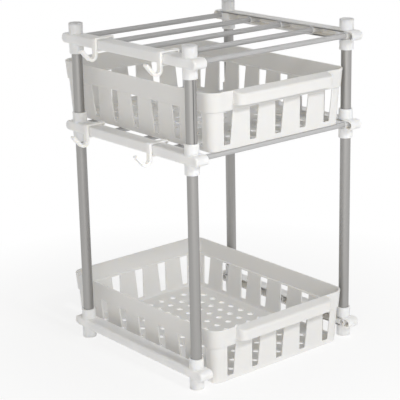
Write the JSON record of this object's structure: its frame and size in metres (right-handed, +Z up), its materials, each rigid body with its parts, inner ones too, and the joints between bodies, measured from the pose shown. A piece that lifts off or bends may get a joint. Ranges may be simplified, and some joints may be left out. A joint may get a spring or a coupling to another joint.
{
  "type": "under sink organizer",
  "caption": "Two-tier under-sink rack of moulded side frames, grey posts and cross tubes, with pull-out perforated trays and clip-on side hooks.",
  "frame": {"origin": "bottom centre of the whole object's box, on the surface that the feet stand on", "axes": "+X from left to right seen from the front, +Y from the front, where the tray handles are, to the back, +Z up"},
  "size_m": [0.3539, 0.376, 0.5037],
  "materials": {
    "frame_plastic": "satin white moulded plastic",
    "tray_plastic": "satin white moulded plastic",
    "hook_plastic": "satin white moulded plastic",
    "post_metal": "satin grey tube, drawn along its length",
    "tube_metal": "satin light grey tube, drawn along its length"
  },
  "bodies": {
    "rack": {"side_frame_top_left": "frame_plastic", "side_frame_top_right": "frame_plastic", "side_frame_middle_left": "frame_plastic", "side_frame_middle_right": "frame_plastic", "side_frame_bottom_left": "frame_plastic", "side_frame_bottom_right": "frame_plastic", "upper_post_front_left": "post_metal", "upper_post_front_right": "post_metal", "upper_post_rear_left": "post_metal", "upper_post_rear_right": "post_metal", "lower_post_front_left": "post_metal", "lower_post_front_right": "post_metal", "lower_post_rear_left": "post_metal", "lower_post_rear_right": "post_metal", "top_tube_1": "tube_metal", "top_tube_2": "tube_metal", "top_tube_3": "tube_metal", "top_tube_4": "tube_metal", "top_tube_5": "tube_metal", "middle_tube_1": "tube_metal", "middle_tube_2": "tube_metal", "middle_tube_3": "tube_metal", "middle_tube_4": "tube_metal", "middle_tube_5": "tube_metal", "cap_front_left": "frame_plastic", "cap_front_right": "frame_plastic", "cap_rear_left": "frame_plastic", "cap_rear_right": "frame_plastic", "foot_front_left": "frame_plastic", "foot_front_right": "frame_plastic", "foot_rear_left": "frame_plastic", "foot_rear_right": "frame_plastic"},
    "upper_tray": {"upper_tray": "tray_plastic"},
    "lower_tray": {"lower_tray": "tray_plastic"},
    "hook_top_front": {"hook_top_front": "hook_plastic"},
    "hook_top_rear": {"hook_top_rear": "hook_plastic"},
    "hook_middle_front": {"hook_middle_front": "hook_plastic"},
    "hook_middle_rear": {"hook_middle_rear": "hook_plastic"}
  },
  "joints": [
    {"name": "upper_tray_pull", "type": "slide", "parent": "rack", "child": "upper_tray", "axis": [0, -1, 0], "range_m": [0, 0.15]},
    {"name": "lower_tray_pull", "type": "slide", "parent": "rack", "child": "lower_tray", "axis": [0, -1, 0], "range_m": [0, 0.3]},
    {"name": "hook_top_front_slide", "type": "slide", "parent": "rack", "child": "hook_top_front", "axis": [0, 1, 0], "range_m": [-0.033, 0.08]},
    {"name": "hook_top_rear_slide", "type": "slide", "parent": "rack", "child": "hook_top_rear", "axis": [0, 1, 0], "range_m": [-0.063, 0.05]},
    {"name": "hook_middle_front_slide", "type": "slide", "parent": "rack", "child": "hook_middle_front", "axis": [0, 1, 0], "range_m": [-0.063, 0.05]},
    {"name": "hook_middle_rear_slide", "type": "slide", "parent": "rack", "child": "hook_middle_rear", "axis": [0, 1, 0], "range_m": [-0.094, 0.019]}
  ]
}
